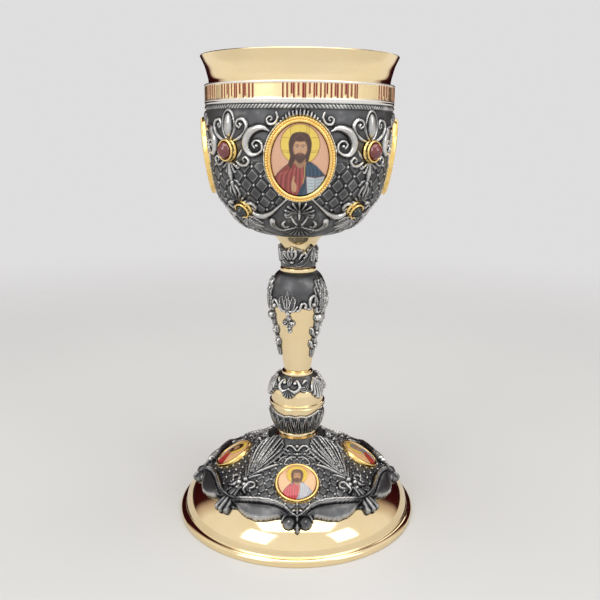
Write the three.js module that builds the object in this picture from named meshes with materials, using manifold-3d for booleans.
// Chalice: a gilt cup in a silver relief casing, on a baluster stem and a domed foot.
// Millimetres, +Z up, origin at the centre of the foot's underside.
// An azimuth of 0 faces -Y, and azimuths grow towards +X.

import * as THREE from 'three';
import { mergeVertices } from 'three/addons/utils/BufferGeometryUtils.js';
import Module from 'manifold-3d';

const wasm = await Module();
wasm.setup();

// Clearances and walls
const FIT_GAP = 0.3;
const CUP_WALL = 1.2;
const CASING_WALL = 2.2;
const CASING_FLOOR = 2.5;
const FOOT_WALL = 1.8;
const OVERLAY_WALL = 1.6;
const STEM_LEAF_WALL = 1.2;
const CURVE_GAP = 0.7;

// Heights, from the table upwards
const FOOT_HEIGHT = 54;
const LOWER_RING_HEIGHT = 3.5;
const KNOP_HEIGHT = 38.8;
const MIDDLE_RING_HEIGHT = 2.7;
const BALUSTER_HEIGHT = 67.5;
const UPPER_RING_HEIGHT = 3.5;
const NECK_HEIGHT = 21;
const CASING_HEIGHT = 81.5;
const BAND_HEIGHT = 10.5;
const LIP_HEIGHT = 17;

// Foot
const FOOT_RADIUS = 80.5;
const FOOT_RIM_HEIGHT = 3.6;
const FOOT_STEP = 3.6;
const FOOT_TOP_RADIUS = 13;
const FOOT_STANDING_WIDTH = 4.6;

// Stem
const RING_RADIUS = 13.2;
const MIDDLE_RING_RADIUS = 10.6;
const UPPER_RING_RADIUS = 11.9;
const KNOP_RADIUS = 17.6;
const KNOP_BEAD_RADIUS = 18.9;
const KNOP_BEAD_HEIGHT = 2.6;
const BALUSTER_RADIUS = 17.6;
const BALUSTER_FOOT_RADIUS = 8.8;
const NECK_FOOT_RADIUS = 10.2;
const NECK_TOP_RADIUS = 16.8;
const COLLAR_HEIGHT = 13;
const GARLAND_AZIMUTH = THREE.MathUtils.degToRad(51);
const GARLAND_COUNT = 3;
const GARLAND_DROP = 0.32;
const MANTLE_STEPS = 24;

// Bowl
const CASING_RADIUS = 57.5;
const ROPE_HEIGHT = 4;
const ROPE_RELIEF = 0.9;
const CASING_MOUTH_WALL = 1.2;
const BAND_PROUD = 0.8;
const BAND_EDGE = 0.6;
const LIP_FLARE = 5;

// Bowl medallions
const BOWL_MEDALLION_WIDTH = 39.8;
const BOWL_MEDALLION_FOOT = 25.2;
const BOWL_MEDALLION_HEADROOM = 4.4;
const BOWL_MEDALLION_TILT = THREE.MathUtils.degToRad(-7.8);
const BOWL_FRAME_WIDTH = 3.6;
const BOWL_FRAME_DEPTH = 5;
const BOWL_FRAME_PROUD = 1.3;
const ENAMEL_SINK = 0.6;
const ENAMEL_DOME = 1.5;

// Foot medallions
const FOOT_MEDALLION_DIAMETER = 28.4;
const FOOT_MEDALLION_INSET = 38;
const FOOT_BEZEL_WIDTH = 1.9;
const FOOT_BEZEL_DEPTH = 3.2;
const FOOT_ENAMEL_DOME = 1.7;

// Stones and their bezels
const GARNET_BEZEL_DIAMETER = 13;
const DARK_BEZEL_DIAMETER = 10.8;
const STONE_BEZEL_WIDTH = 1.5;
const STONE_BEZEL_DEPTH = 4;
const STONE_DOME = 4;
const GARNET_RISE = 4.85;
const DARK_STONE_HEIGHT = 20.5;
const DARK_STONE_AZIMUTH = THREE.MathUtils.degToRad(43);

// Raised scrolls and ribs
const SCROLL_HALF_WIDTH = 2.3;
const SCROLL_REACH = 8.5;
const SCROLL_RISE = 8;
const RIB_HALF_WIDTH = 1.5;
const PALMETTE_HEIGHT = 14;
const PALMETTE_WIDTH = 15;
const PALMETTE_LENGTH = 13;
const ALMOND_RISE = 14;
const ALMOND_WIDTH = 8;
const ALMOND_LENGTH = 15;
const LEAF_LENGTH = 12;
const HEM_RELIEF = 1.6;
const FINIAL_BALL_RADIUS = 3.1;
const RIDGE_SINK = 0.5;

// Smoothness of the round surfaces
const ROUND_STEPS = 32;
const CASING_STEPS = 36;
const OVERLAY_STEPS = 32;
const STEM_STEPS = 16;
const MEDALLION_STEPS = 16;
const STONE_STEPS = 8;

// Levels that follow from the heights
const LOWER_RING_LEVEL = FOOT_HEIGHT;
const KNOP_LEVEL = LOWER_RING_LEVEL + LOWER_RING_HEIGHT;
const MIDDLE_RING_LEVEL = KNOP_LEVEL + KNOP_HEIGHT;
const BALUSTER_LEVEL = MIDDLE_RING_LEVEL + MIDDLE_RING_HEIGHT;
const UPPER_RING_LEVEL = BALUSTER_LEVEL + BALUSTER_HEIGHT;
const NECK_LEVEL = UPPER_RING_LEVEL + UPPER_RING_HEIGHT;
const CASING_LEVEL = NECK_LEVEL + NECK_HEIGHT;
const BAND_LEVEL = CASING_LEVEL + CASING_HEIGHT;
const BAND_TOP = BAND_LEVEL + BAND_HEIGHT;
const RIM_LEVEL = BAND_TOP + LIP_HEIGHT;

// Places and sizes that follow from what the pieces sit in
const CASING_BORE = CASING_RADIUS - CASING_MOUTH_WALL;
const CUP_BAND_RADIUS = CASING_BORE - FIT_GAP;
const BAND_RADIUS = CASING_RADIUS + BAND_PROUD;
const RIM_RADIUS = CUP_BAND_RADIUS + LIP_FLARE;
const BOWL_MEDALLION_LENGTH = CASING_HEIGHT - ROPE_HEIGHT - BOWL_MEDALLION_HEADROOM - BOWL_MEDALLION_FOOT;
const BOWL_MEDALLION_HEIGHT = BOWL_MEDALLION_FOOT + BOWL_MEDALLION_LENGTH / 2;
const GARNET_HEIGHT = BOWL_MEDALLION_HEIGHT + GARNET_RISE;
const FOOT_MEDALLION_REACH = FOOT_RADIUS - FOOT_MEDALLION_INSET;

const QUARTERS = ['front', 'right', 'back', 'left'];
const CORNERS = ['front_right', 'back_right', 'back_left', 'front_left'];
const QUARTER = Math.PI / 2;

const gilt = new THREE.MeshStandardMaterial({ color: 0xd9b877, metalness: 1, roughness: 0.18 });
const frameGold = new THREE.MeshStandardMaterial({ color: 0xe0ab45, metalness: 1, roughness: 0.28 });
const silver = new THREE.MeshStandardMaterial({ color: 0x77787a, metalness: 1, roughness: 0.42 });
const enamel = new THREE.MeshStandardMaterial({ color: 0xd9a088, metalness: 0, roughness: 0.1 });
const garnetRed = new THREE.MeshStandardMaterial({ color: 0x9c1018, metalness: 0, roughness: 0.05 });
const darkGreen = new THREE.MeshStandardMaterial({ color: 0x10201c, metalness: 0, roughness: 0.05 });

const chalice = new THREE.Group();

function addPiece(name, geometry, material) {
  const mesh = new THREE.Mesh(geometry, material);
  mesh.name = name;
  chalice.add(mesh);
}

// Turned shapes

function vec(r, z) {
  return new THREE.Vector2(r, z);
}

// A lathe stood upright, so that its first column faces -Y.
function turned(points, steps) {
  return new THREE.LatheGeometry(points, steps).rotateX(QUARTER);
}

// The same outline moved inwards, to the left of its own direction, by a wall.
function inset(points, wall) {
  return points.map((point, i) => {
    const before = points[Math.max(i - 1, 0)];
    const after = points[Math.min(i + 1, points.length - 1)];
    const along = after.clone().sub(before).normalize();
    return vec(point.x - along.y * wall, point.y + along.x * wall);
  });
}

function radiusAt(points, z) {
  for (let i = 1; i < points.length; i += 1) {
    const low = points[i - 1];
    const high = points[i];
    if (z >= Math.min(low.y, high.y) && z <= Math.max(low.y, high.y) && low.y !== high.y) {
      return low.x + ((high.x - low.x) * (z - low.y)) / (high.y - low.y);
    }
  }
  return points[points.length - 1].x;
}

function ringBead(radius, height, level) {
  const waist = radius * 0.8;
  const points = [
    vec(0, level),
    vec(waist, level),
    vec(radius, level + height * 0.3),
    vec(radius, level + height * 0.7),
    vec(waist, level + height),
    vec(0, level + height),
  ];
  return turned(points, STEM_STEPS);
}

// Solids, for joining and cutting

function solidOf(geometry) {
  const bare = geometry.clone();
  bare.deleteAttribute('normal');
  bare.deleteAttribute('uv');
  const merged = mergeVertices(bare, 1e-4);
  const index = merged.index.array;
  const triangles = [];
  for (let i = 0; i < index.length; i += 3) {
    const [a, b, c] = [index[i], index[i + 1], index[i + 2]];
    if (a !== b && b !== c && c !== a) {
      triangles.push(a, b, c);
    }
  }
  return new wasm.Manifold(new wasm.Mesh({
    numProp: 3,
    vertProperties: Float32Array.from(merged.attributes.position.array),
    triVerts: Uint32Array.from(triangles),
  }));
}

function geometryOf(solid) {
  const mesh = solid.getMesh();
  const geometry = new THREE.BufferGeometry();
  geometry.setAttribute('position', new THREE.BufferAttribute(mesh.vertProperties, 3));
  geometry.setIndex(new THREE.BufferAttribute(mesh.triVerts, 1));
  return geometry;
}

// Surfaces that carry relief

// A point on a round surface whose outline is a curve, lifted off it by a height.
function onSurface(curve, share, azimuth, lift) {
  const point = curve.getPointAt(THREE.MathUtils.clamp(share, 0, 1));
  const tangent = curve.getTangentAt(THREE.MathUtils.clamp(share, 0, 1));
  const radius = point.x + tangent.y * lift;
  const height = point.y - tangent.x * lift;
  return new THREE.Vector3(radius * Math.sin(azimuth), -radius * Math.cos(azimuth), height);
}

// A shell over a round surface. Its two edges may wave with the azimuth.
function shellOver(curve, { steps, rows, liningRows = 2, from, to, lift, wall, relief = () => 0 }) {
  const loop = [];
  for (let row = 0; row <= rows; row += 1) {
    loop.push({ outer: true, share: row / rows });
  }
  for (let row = liningRows; row >= 0; row -= 1) {
    loop.push({ outer: false, share: row / liningRows });
  }
  loop.push(loop[0]);
  const geometry = turned(loop.map((place, i) => vec(1, i)), steps);
  const position = geometry.attributes.position;
  for (let column = 0; column <= steps; column += 1) {
    const azimuth = (column % steps) * ((2 * Math.PI) / steps);
    for (let row = 0; row < loop.length; row += 1) {
      const { outer, share } = loop[row];
      const along = from(azimuth) + (to(azimuth) - from(azimuth)) * share;
      const height = outer ? lift + wall + relief(azimuth, share) : lift;
      const point = onSurface(curve, along, azimuth, height);
      position.setXYZ(column * loop.length + row, point.x, point.y, point.z);
    }
  }
  return geometry;
}

// A tapered ridge with a three-sided section along a line of places on a surface.
// Its foot is sunk into the wall that carries it.
function raisedRidge(places, halfWidths, surface, steepness, sink) {
  const last = places.length - 1;
  const profile = [vec(0, 0)];
  for (let i = 0; i <= last; i += 1) {
    profile.push(vec(1, i));
  }
  profile.push(vec(0, last));
  const geometry = new THREE.LatheGeometry(profile, 3);
  const position = geometry.attributes.position;
  const corners = [vec(0, 1), vec(1, 0), vec(-1, 0), vec(0, 1)];
  for (let corner = 0; corner <= 3; corner += 1) {
    for (let row = 0; row < profile.length; row += 1) {
      const i = THREE.MathUtils.clamp(row - 1, 0, last);
      const here = surface(places[i], 0);
      const before = surface(places[Math.max(i - 1, 0)], 0);
      const after = surface(places[Math.min(i + 1, last)], 0);
      const along = after.sub(before).normalize();
      const up = surface(places[i], 1).sub(here).normalize();
      const side = along.clone().cross(up).normalize();
      const open = row === 0 || row === profile.length - 1 ? 0 : 1;
      const across = side.multiplyScalar(halfWidths[i] * corners[corner].x * open);
      const rise = up.multiplyScalar(steepness * halfWidths[i] * corners[corner].y * open - sink);
      const point = here.clone().add(across).add(rise);
      position.setXYZ(corner * profile.length + row, point.x, point.y, point.z);
    }
  }
  return geometry;
}

function closedSolid(geometry) {
  const solid = solidOf(geometry);
  if (solid.volume() >= 0) {
    return solid;
  }
  const index = geometry.index.array;
  for (let i = 0; i < index.length; i += 3) {
    [index[i], index[i + 1]] = [index[i + 1], index[i]];
  }
  return solidOf(geometry);
}

// Oval and round settings

// A turned ring whose radius is widened to an oval. Its profile is (offset, depth).
function ovalRing(profile, halfWidth, halfLength, steps) {
  const loop = [...profile, profile[0].clone()];
  const points = loop.map((point) => vec(halfWidth + point.x, point.y));
  const geometry = new THREE.LatheGeometry(points, steps);
  const position = geometry.attributes.position;
  for (let i = 0; i < position.count; i += 1) {
    const [x, y, z] = [position.getX(i), position.getY(i), position.getZ(i)];
    const reach = Math.hypot(x, z);
    const stretch = (reach + halfLength - halfWidth) / reach;
    position.setXYZ(i, x, z * stretch, y);
  }
  return geometry.scale(1, -1, 1);
}

// A plate with an oval outline. Its profile is (share of the half width, depth).
function ovalPlate(profile, halfWidth, halfLength, steps) {
  const points = profile.map((point) => vec(point.x * halfWidth, point.y));
  const geometry = turned(points, steps);
  return geometry.scale(1, halfLength / halfWidth, 1);
}

// A seat is a frame whose local +Z leaves the surface and whose +Y points up along it.
function seatAt(azimuth, radius, level, lean) {
  const seat = new THREE.Matrix4().makeRotationZ(azimuth);
  seat.multiply(new THREE.Matrix4().makeTranslation(0, -radius, level));
  seat.multiply(new THREE.Matrix4().makeRotationX(QUARTER - lean));
  return seat;
}

function framedSetting({ halfWidth, halfLength, width, depth, dome, sink, steps }) {
  const bead = width * 0.28;
  const ring = ovalRing(
    [
      vec(0, -depth),
      vec(0, -bead),
      vec(-width * 0.45, 0),
      vec(-width, -depth),
    ],
    halfWidth,
    halfLength,
    steps,
  );
  const edge = -bead - sink;
  const plate = ovalPlate(
    [vec(0, -depth), vec(1, -depth), vec(1, edge), vec(0, edge + dome)],
    halfWidth - width - FIT_GAP,
    halfLength - width - FIT_GAP,
    steps,
  );
  return { ring, plate };
}

function seatCutter(halfWidth, halfLength, back, front, steps) {
  const profile = [vec(0, back), vec(1, back), vec(1, front), vec(0, front)];
  return ovalPlate(profile, halfWidth + FIT_GAP, halfLength + FIT_GAP, steps);
}

// Cup and inscription band

const casingCurve = new THREE.SplineCurve([
  vec(NECK_TOP_RADIUS, CASING_LEVEL),
  vec(CASING_RADIUS * 0.5, CASING_LEVEL + CASING_HEIGHT * 0.035),
  vec(CASING_RADIUS * 0.7, CASING_LEVEL + CASING_HEIGHT * 0.135),
  vec(CASING_RADIUS * 0.8, CASING_LEVEL + CASING_HEIGHT * 0.235),
  vec(CASING_RADIUS * 0.895, CASING_LEVEL + CASING_HEIGHT * 0.335),
  vec(CASING_RADIUS * 0.96, CASING_LEVEL + CASING_HEIGHT * 0.46),
  vec(CASING_RADIUS * 0.993, CASING_LEVEL + CASING_HEIGHT * 0.63),
  vec(CASING_RADIUS, CASING_LEVEL + CASING_HEIGHT * 0.8),
  vec(CASING_RADIUS, CASING_LEVEL + CASING_HEIGHT),
]);
const casingOutline = casingCurve.getSpacedPoints(8);
const casingLiningOutline = inset(casingCurve.getSpacedPoints(5), CASING_WALL);
const CUP_SPACE = BOWL_FRAME_DEPTH - BOWL_FRAME_PROUD - CASING_WALL + 2 * FIT_GAP;
const CUP_SHOULDER = BAND_LEVEL - ROPE_HEIGHT - FIT_GAP;
const cupFloorLevel = CASING_LEVEL + CASING_FLOOR;

function cupOutline() {
  const lower = inset(casingLiningOutline, CUP_SPACE)
    .filter((point) => point.y > cupFloorLevel + 2 * CUP_WALL && point.y < CUP_SHOULDER - 5);
  return [
    vec(lower[0].x * 0.8, cupFloorLevel),
    ...lower,
    vec(CUP_BAND_RADIUS, CUP_SHOULDER),
    vec(CUP_BAND_RADIUS, BAND_TOP),
    vec(THREE.MathUtils.lerp(CUP_BAND_RADIUS, RIM_RADIUS, 0.32), BAND_TOP + LIP_HEIGHT * 0.4),
    vec(RIM_RADIUS, RIM_LEVEL - CUP_WALL * 0.4),
  ];
}

function buildCup() {
  const outer = cupOutline();
  const inner = inset(outer, CUP_WALL).reverse();
  inner[inner.length - 1].y = cupFloorLevel + CUP_WALL;
  const points = [
    vec(0, cupFloorLevel),
    ...outer,
    vec(RIM_RADIUS - CUP_WALL * 0.5, RIM_LEVEL),
    ...inner,
    vec(0, cupFloorLevel + CUP_WALL),
  ];
  addPiece('cup', turned(points, ROUND_STEPS), gilt);
}

function buildBand() {
  const edge = BAND_HEIGHT * 0.14;
  const points = [
    vec(CASING_BORE, BAND_LEVEL),
    vec(BAND_RADIUS + BAND_EDGE, BAND_LEVEL),
    vec(BAND_RADIUS, BAND_LEVEL + edge),
    vec(BAND_RADIUS, BAND_TOP - edge),
    vec(BAND_RADIUS + BAND_EDGE, BAND_TOP),
    vec(CASING_BORE, BAND_TOP),
    vec(CASING_BORE, BAND_LEVEL),
  ];
  addPiece('inscription_band', turned(points, ROUND_STEPS), gilt);
}

// Casing of the bowl

function casingPlace([azimuth, level], lift) {
  const radius = radiusAt(casingOutline, level);
  const below = radiusAt(casingOutline, level - 1);
  const slope = new THREE.Vector2(radius - below, 1).normalize();
  const reach = radius + slope.y * lift;
  return new THREE.Vector3(reach * Math.sin(azimuth), -reach * Math.cos(azimuth), level - slope.x * lift);
}

function casingScroll(azimuth, level, size, turn) {
  const places = [];
  const widths = [];
  const steps = 5;
  for (let i = 0; i <= steps; i += 1) {
    const angle = -2.2 + (i / steps) * 4.6;
    const reach = size * (1 - 0.45 * (i / steps));
    const along = (turn * reach * 0.75 * Math.cos(angle)) / CASING_RADIUS;
    places.push([azimuth + along, level + reach * Math.sin(angle)]);
    widths.push(SCROLL_HALF_WIDTH * (0.5 + 0.5 * Math.sin((Math.PI * (i + 0.5)) / (steps + 1))));
  }
  return raisedRidge(places, widths, casingPlace, 1, RIDGE_SINK);
}

function casingRib(azimuth, turn) {
  const middle = CASING_LEVEL + BOWL_MEDALLION_HEIGHT;
  const reach = BOWL_MEDALLION_WIDTH * 0.5;
  const places = [];
  const steps = 5;
  for (let i = 0; i <= steps; i += 1) {
    const share = i / steps;
    const out = (reach * (0.55 + 0.95 * share)) / CASING_RADIUS;
    const drop = BOWL_MEDALLION_LENGTH * (0.66 - 0.36 * Math.sin(share * 2.3) + 0.3 * share);
    places.push([azimuth + turn * out, middle - drop]);
  }
  return raisedRidge(places, places.map(() => RIB_HALF_WIDTH), casingPlace, 1.2, RIDGE_SINK);
}

function casingShell(azimuth, level, width, height) {
  const half = height * 0.5;
  const places = [];
  const widths = [];
  const steps = 3;
  for (let i = 0; i <= steps; i += 1) {
    places.push([azimuth, level - half + (height * i) / steps]);
    widths.push(width * 0.5 * Math.sin((Math.PI * (i + 0.6)) / (steps + 1.2)));
  }
  return raisedRidge(places, widths, casingPlace, 0.42, RIDGE_SINK);
}

function bowlSeat(azimuth) {
  const level = CASING_LEVEL + BOWL_MEDALLION_HEIGHT;
  const radius = radiusAt(casingOutline, level) + BOWL_FRAME_PROUD;
  return seatAt(azimuth, radius, level, BOWL_MEDALLION_TILT);
}

// A bezel's back rests on the casing, with the usual gap.
function stoneSeat(azimuth, height, diameter) {
  const level = CASING_LEVEL + height;
  const radius = radiusAt(casingOutline, level);
  const half = diameter / 2;
  const rise = radiusAt(casingOutline, level + half) - radiusAt(casingOutline, level - half);
  const lean = -Math.atan(rise / (2 * half));
  const lift = STONE_BEZEL_DEPTH + FIT_GAP;
  return seatAt(azimuth, radius + lift * Math.cos(lean), level + lift * Math.sin(lean), lean);
}

function stoneSeats() {
  const seats = [];
  for (let i = 0; i < 4; i += 1) {
    const side = i % 2 === 0 ? 1 : -1;
    const middle = i * QUARTER + QUARTER / 2;
    const shift = DARK_STONE_AZIMUTH - QUARTER / 2;
    seats.push({
      name: `garnet_${CORNERS[i]}`,
      seat: stoneSeat(middle, GARNET_HEIGHT, GARNET_BEZEL_DIAMETER),
      diameter: GARNET_BEZEL_DIAMETER,
      colour: garnetRed,
    });
    seats.push({
      name: `dark_stone_${CORNERS[i]}`,
      seat: stoneSeat(middle + side * shift, DARK_STONE_HEIGHT, DARK_BEZEL_DIAMETER),
      diameter: DARK_BEZEL_DIAMETER,
      colour: darkGreen,
    });
  }
  return seats;
}

function casingBody() {
  const top = casingOutline.length - 1;
  const outer = casingOutline.map((point, i) => (i === top - 1 ? vec(point.x, BAND_LEVEL - ROPE_HEIGHT) : point));
  const lining = casingLiningOutline
    .filter((point) => point.y > cupFloorLevel + 1 && point.y < CUP_SHOULDER - 5)
    .reverse();
  const points = [
    vec(0, CASING_LEVEL),
    ...outer.slice(0, top),
    vec(CASING_RADIUS + ROPE_RELIEF, BAND_LEVEL - ROPE_HEIGHT * 0.8),
    vec(CASING_RADIUS + ROPE_RELIEF, BAND_LEVEL - ROPE_HEIGHT * 0.2),
    vec(CASING_RADIUS, BAND_LEVEL),
    vec(CASING_BORE, BAND_LEVEL),
    vec(CASING_BORE, CUP_SHOULDER - FIT_GAP),
    ...lining,
    vec(lining[lining.length - 1].x * 0.85, cupFloorLevel),
    vec(0, cupFloorLevel),
  ];
  return closedSolid(turned(points, CASING_STEPS));
}

function buildCasing() {
  let body = casingBody();
  const middle = CASING_LEVEL + BOWL_MEDALLION_HEIGHT;
  for (let i = 0; i < 4; i += 1) {
    const azimuth = i * QUARTER;
    const corner = azimuth + QUARTER / 2;
    for (const turn of [1, -1]) {
      const volute = azimuth + turn * (BOWL_MEDALLION_WIDTH * 0.62) / CASING_RADIUS;
      body = body.add(closedSolid(casingScroll(volute, middle + SCROLL_RISE, SCROLL_REACH, turn)));
      body = body.add(closedSolid(casingRib(azimuth, turn)));
    }
    body = body.add(closedSolid(casingShell(azimuth, CASING_LEVEL + PALMETTE_HEIGHT, PALMETTE_WIDTH, PALMETTE_LENGTH)));
    body = body.add(closedSolid(casingShell(corner, CASING_LEVEL + GARNET_HEIGHT + ALMOND_RISE, ALMOND_WIDTH, ALMOND_LENGTH)));
    body = body.add(closedSolid(casingShell(corner, CASING_LEVEL + GARNET_HEIGHT - ALMOND_RISE, ALMOND_WIDTH, LEAF_LENGTH)));
  }
  const halfWidth = BOWL_MEDALLION_WIDTH / 2;
  const halfLength = BOWL_MEDALLION_LENGTH / 2;
  const reach = BOWL_FRAME_DEPTH + FIT_GAP + CASING_WALL;
  for (let i = 0; i < 4; i += 1) {
    const cutter = seatCutter(halfWidth, halfLength, -reach, reach, MEDALLION_STEPS);
    body = body.subtract(closedSolid(cutter.applyMatrix4(bowlSeat(i * QUARTER))));
  }
  addPiece('bowl_casing', geometryOf(body), silver);
}

function buildBowlMedallions() {
  QUARTERS.forEach((name, i) => {
    const { ring, plate } = framedSetting({
      halfWidth: BOWL_MEDALLION_WIDTH / 2,
      halfLength: BOWL_MEDALLION_LENGTH / 2,
      width: BOWL_FRAME_WIDTH,
      depth: BOWL_FRAME_DEPTH,
      dome: ENAMEL_DOME,
      sink: ENAMEL_SINK,
      steps: MEDALLION_STEPS,
    });
    const seat = bowlSeat(i * QUARTER);
    addPiece(`bowl_medallion_frame_${name}`, ring.applyMatrix4(seat), frameGold);
    addPiece(`bowl_medallion_enamel_${name}`, plate.applyMatrix4(seat), enamel);
  });
}

function buildStones() {
  for (const { name, seat, diameter, colour } of stoneSeats()) {
    const half = diameter / 2;
    const { ring, plate } = framedSetting({
      halfWidth: half,
      halfLength: half,
      width: STONE_BEZEL_WIDTH,
      depth: STONE_BEZEL_DEPTH,
      dome: STONE_DOME,
      sink: 0,
      steps: STONE_STEPS,
    });
    addPiece(`${name}_bezel`, ring.applyMatrix4(seat), frameGold);
    addPiece(name, plate.applyMatrix4(seat), colour);
  }
}

// Stem

const balusterCurve = new THREE.SplineCurve([
  vec(UPPER_RING_RADIUS * 0.85, UPPER_RING_LEVEL),
  vec(BALUSTER_RADIUS * 0.78, UPPER_RING_LEVEL - BALUSTER_HEIGHT * 0.035),
  vec(BALUSTER_RADIUS * 0.96, UPPER_RING_LEVEL - BALUSTER_HEIGHT * 0.13),
  vec(BALUSTER_RADIUS, UPPER_RING_LEVEL - BALUSTER_HEIGHT * 0.25),
  vec(BALUSTER_RADIUS * 0.96, UPPER_RING_LEVEL - BALUSTER_HEIGHT * 0.36),
  vec(BALUSTER_RADIUS * 0.82, UPPER_RING_LEVEL - BALUSTER_HEIGHT * 0.53),
  vec(BALUSTER_RADIUS * 0.655, UPPER_RING_LEVEL - BALUSTER_HEIGHT * 0.77),
  vec(BALUSTER_FOOT_RADIUS, BALUSTER_LEVEL),
]);

// The knop's outline runs down from its top.
const knopCurve = new THREE.SplineCurve([
  vec(MIDDLE_RING_RADIUS * 0.9, MIDDLE_RING_LEVEL),
  vec(KNOP_RADIUS * 0.78, MIDDLE_RING_LEVEL - KNOP_HEIGHT * 0.09),
  vec(KNOP_RADIUS * 0.97, MIDDLE_RING_LEVEL - KNOP_HEIGHT * 0.26),
  vec(KNOP_RADIUS, MIDDLE_RING_LEVEL - KNOP_HEIGHT * 0.45),
  vec(KNOP_RADIUS, MIDDLE_RING_LEVEL - KNOP_HEIGHT * 0.55),
  vec(KNOP_RADIUS * 0.93, MIDDLE_RING_LEVEL - KNOP_HEIGHT * 0.72),
  vec(KNOP_RADIUS * 0.8, MIDDLE_RING_LEVEL - KNOP_HEIGHT * 0.88),
  vec(RING_RADIUS * 0.9, KNOP_LEVEL),
]);

function solidOnCurve(curve, count, bottom, top, steps) {
  const points = curve.getSpacedPoints(count).reverse();
  return turned([vec(0, bottom), ...points, vec(0, top)], steps);
}

// The curves of the stem run downwards, so a height off them is measured the other way.
function flipped(curve) {
  const points = curve.getSpacedPoints(24).reverse();
  return new THREE.SplineCurve(points);
}

function wave(azimuth, lobes, depth) {
  return depth * Math.abs(Math.cos((azimuth * lobes) / 2));
}

// Three garlands hang round the stem, each as a drop that narrows quickly to its sides.
function garland(azimuth, drop) {
  return drop * Math.abs(Math.cos((GARLAND_COUNT / 2) * (azimuth - GARLAND_AZIMUTH))) ** 6;
}

function buildNeck() {
  const waist = NECK_LEVEL + COLLAR_HEIGHT;
  const points = [
    vec(0, NECK_LEVEL),
    vec(NECK_FOOT_RADIUS, NECK_LEVEL),
    vec(NECK_FOOT_RADIUS, NECK_LEVEL + COLLAR_HEIGHT * 0.8),
    vec(NECK_FOOT_RADIUS * 1.12, waist),
    vec(THREE.MathUtils.lerp(NECK_FOOT_RADIUS, NECK_TOP_RADIUS, 0.45), waist + (CASING_LEVEL - waist) * 0.5),
    vec(NECK_TOP_RADIUS, CASING_LEVEL),
    vec(0, CASING_LEVEL),
  ];
  addPiece('neck', turned(points, STEM_STEPS), gilt);
  const sleeve = new THREE.LineCurve(
    vec(NECK_FOOT_RADIUS, NECK_LEVEL + COLLAR_HEIGHT * 0.05),
    vec(NECK_FOOT_RADIUS, NECK_LEVEL + COLLAR_HEIGHT * 0.78),
  );
  const collar = shellOver(sleeve, {
    steps: STEM_STEPS,
    rows: 3,
    from: () => 0,
    to: (azimuth) => 0.8 + wave(azimuth, 8, 0.2),
    lift: FIT_GAP,
    wall: STEM_LEAF_WALL,
    relief: (azimuth, share) => 0.8 * share + 0.4 * Math.cos(azimuth * 8),
  });
  addPiece('neck_leaf_collar', geometryOf(closedSolid(collar)), silver);
}

function buildBaluster() {
  const body = solidOnCurve(balusterCurve, 11, BALUSTER_LEVEL, UPPER_RING_LEVEL, STEM_STEPS);
  addPiece('baluster', body, gilt);
  const mantle = shellOver(flipped(balusterCurve), {
    steps: MANTLE_STEPS,
    rows: 5,
    liningRows: 5,
    from: (azimuth) => 0.59 - garland(azimuth, GARLAND_DROP),
    to: () => 0.94,
    lift: CURVE_GAP,
    wall: STEM_LEAF_WALL,
  });
  addPiece('baluster_mantle', geometryOf(closedSolid(mantle)), silver);
}

function buildKnop() {
  const half = KNOP_BEAD_HEIGHT / 2;
  const middle = KNOP_LEVEL + KNOP_HEIGHT / 2;
  const points = knopCurve.getSpacedPoints(9).reverse();
  const below = points.filter((point) => point.y < middle - half * 1.6);
  const above = points.filter((point) => point.y > middle + half * 1.6);
  const outline = [
    vec(0, KNOP_LEVEL),
    ...below,
    vec(KNOP_RADIUS, middle - half * 1.3),
    vec(KNOP_BEAD_RADIUS, middle - half * 0.6),
    vec(KNOP_BEAD_RADIUS, middle + half * 0.6),
    vec(KNOP_RADIUS, middle + half * 1.3),
    ...above,
    vec(0, MIDDLE_RING_LEVEL),
  ];
  addPiece('knop', turned(outline, STEM_STEPS), gilt);
  const ball = flipped(knopCurve);
  const upper = shellOver(ball, {
    steps: STEM_STEPS,
    rows: 4,
    liningRows: 4,
    from: (azimuth) => 0.69 - garland(azimuth, 0.1),
    to: () => 0.93,
    lift: CURVE_GAP,
    wall: STEM_LEAF_WALL,
    relief: (azimuth) => 0.35 * Math.cos(azimuth * 8),
  });
  addPiece('knop_upper_leaves', geometryOf(closedSolid(upper)), silver);
  const lower = shellOver(ball, {
    steps: STEM_STEPS,
    rows: 3,
    from: () => 0.03,
    to: (azimuth) => 0.3 + wave(azimuth + Math.PI / 8, 8, 0.07),
    lift: CURVE_GAP,
    wall: STEM_LEAF_WALL,
    relief: (azimuth) => 0.3 * Math.cos(azimuth * 8),
  });
  addPiece('knop_lower_leaves', geometryOf(closedSolid(lower)), silver);
}

function buildRings() {
  addPiece('lower_ring', ringBead(RING_RADIUS, LOWER_RING_HEIGHT, LOWER_RING_LEVEL), gilt);
  addPiece('middle_ring', ringBead(MIDDLE_RING_RADIUS, MIDDLE_RING_HEIGHT, MIDDLE_RING_LEVEL), gilt);
  addPiece('upper_ring', ringBead(UPPER_RING_RADIUS, UPPER_RING_HEIGHT, UPPER_RING_LEVEL), gilt);
}

// Foot

const DOME_LEVEL = FOOT_RIM_HEIGHT * 1.45;
const DOME_RISE = FOOT_HEIGHT - DOME_LEVEL;
const DOME_RADIUS = FOOT_RADIUS - FOOT_STEP;

function domePoint(radiusShare, riseShare) {
  return vec(DOME_RADIUS * radiusShare, DOME_LEVEL + DOME_RISE * riseShare);
}

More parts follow.
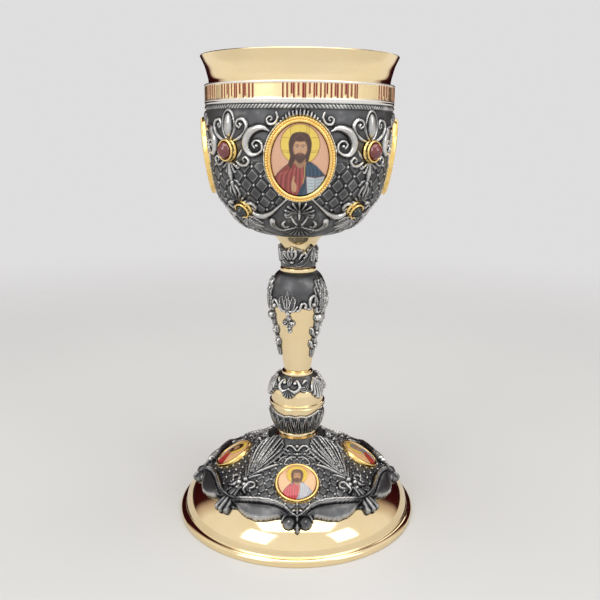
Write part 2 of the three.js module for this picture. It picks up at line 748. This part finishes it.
// The dome's outline runs up from its foot.
const domeCurve = new THREE.SplineCurve([
  domePoint(1, 0),
  domePoint(0.985, 0.1),
  domePoint(0.945, 0.205),
  domePoint(0.885, 0.295),
  domePoint(0.8, 0.385),
  domePoint(0.7, 0.475),
  domePoint(0.585, 0.575),
  domePoint(0.465, 0.69),
  domePoint(0.355, 0.8),
  domePoint(0.265, 0.895),
  vec(FOOT_TOP_RADIUS, FOOT_HEIGHT),
]);
const domeOutline = domeCurve.getSpacedPoints(11);

function buildFoot() {
  const lining = inset(domeCurve.getSpacedPoints(7), FOOT_WALL)
    .filter((point) => point.y < FOOT_HEIGHT - 2 * FOOT_WALL);
  const points = [
    vec(FOOT_RADIUS - FOOT_STANDING_WIDTH, 0),
    vec(FOOT_RADIUS, 0),
    vec(FOOT_RADIUS, FOOT_RIM_HEIGHT),
    vec(FOOT_RADIUS - FOOT_STEP * 0.3, FOOT_RIM_HEIGHT * 1.3),
    ...domeOutline,
    vec(0, FOOT_HEIGHT),
    vec(0, FOOT_HEIGHT - 2 * FOOT_WALL),
    ...lining.reverse(),
    vec(FOOT_RADIUS - FOOT_STANDING_WIDTH, 0),
  ];
  addPiece('foot', turned(points, ROUND_STEPS), gilt);
}

function domePlace([azimuth, share], lift) {
  return onSurface(domeCurve, share, azimuth, CURVE_GAP + OVERLAY_WALL + lift);
}

// The plate bridges the hollow sweep of the dome: it lies on the line between two of its rings.
function footSeat(azimuth) {
  const span = (FOOT_MEDALLION_DIAMETER / 2) * 0.85;
  const low = radiusLevel(domeOutline, FOOT_MEDALLION_REACH + span);
  const high = radiusLevel(domeOutline, FOOT_MEDALLION_REACH - span);
  const lean = Math.atan2(2 * span, high - low);
  const lift = CURVE_GAP + FOOT_BEZEL_DEPTH;
  const reach = FOOT_MEDALLION_REACH + lift * Math.cos(lean);
  return seatAt(azimuth, reach, (low + high) / 2 + lift * Math.sin(lean), lean);
}

function radiusLevel(points, radius) {
  for (let i = 1; i < points.length; i += 1) {
    const [low, high] = [points[i - 1], points[i]];
    if (high.x <= radius && low.x >= radius) {
      return low.y + ((high.y - low.y) * (low.x - radius)) / (low.x - high.x);
    }
  }
  return points[points.length - 1].y;
}

// The overlay's hem hangs lowest below each medallion and at the claws between them.
function overlayHem(azimuth) {
  return 0.235 - 0.04 * Math.cos(azimuth * 8) - 0.015 * Math.cos(azimuth * 4);
}

function footBall(azimuth, share, radius) {
  const centre = domePlace([azimuth, share], radius - OVERLAY_WALL * 0.8);
  return new THREE.IcosahedronGeometry(radius, 0).translate(centre.x, centre.y, centre.z);
}

function buildOverlay() {
  const shell = shellOver(domeCurve, {
    steps: OVERLAY_STEPS,
    rows: 6,
    liningRows: 5,
    from: overlayHem,
    to: () => 0.97,
    lift: CURVE_GAP,
    wall: OVERLAY_WALL,
    relief: (azimuth, share) => (share < 0.2 ? HEM_RELIEF * share * 5 * (1.2 - share * 5) * 2.5 : 0),
  });
  let body = closedSolid(shell);
  for (let i = 0; i < 4; i += 1) {
    const azimuth = i * QUARTER;
    const corner = azimuth + QUARTER / 2;
    for (const turn of [1, -1]) {
      const out = azimuth + (turn * FINIAL_BALL_RADIUS * 1.2) / (DOME_RADIUS * 0.85);
      body = body.add(closedSolid(footBall(out, overlayHem(azimuth) + 0.05, FINIAL_BALL_RADIUS)));
    }
    body = body.add(closedSolid(footBall(corner, overlayHem(corner) + 0.03, FINIAL_BALL_RADIUS)));
  }
  const half = FOOT_MEDALLION_DIAMETER / 2;
  const reach = FOOT_BEZEL_DEPTH * 3;
  for (let i = 0; i < 4; i += 1) {
    const cutter = seatCutter(half, half, -reach, reach, MEDALLION_STEPS);
    body = body.subtract(closedSolid(cutter.applyMatrix4(footSeat(i * QUARTER))));
  }
  addPiece('foot_overlay', geometryOf(body), silver);
}

function buildFootMedallions() {
  QUARTERS.forEach((name, i) => {
    const half = FOOT_MEDALLION_DIAMETER / 2;
    const { ring, plate } = framedSetting({
      halfWidth: half,
      halfLength: half,
      width: FOOT_BEZEL_WIDTH,
      depth: FOOT_BEZEL_DEPTH,
      dome: FOOT_ENAMEL_DOME,
      sink: 0,
      steps: MEDALLION_STEPS,
    });
    const seat = footSeat(i * QUARTER);
    addPiece(`foot_medallion_bezel_${name}`, ring.applyMatrix4(seat), frameGold);
    addPiece(`foot_medallion_enamel_${name}`, plate.applyMatrix4(seat), enamel);
  });
}

buildCup();
buildBand();
buildCasing();
buildBowlMedallions();
buildStones();
buildNeck();
buildBaluster();
buildKnop();
buildRings();
buildFoot();
buildOverlay();
buildFootMedallions();

export default chalice;
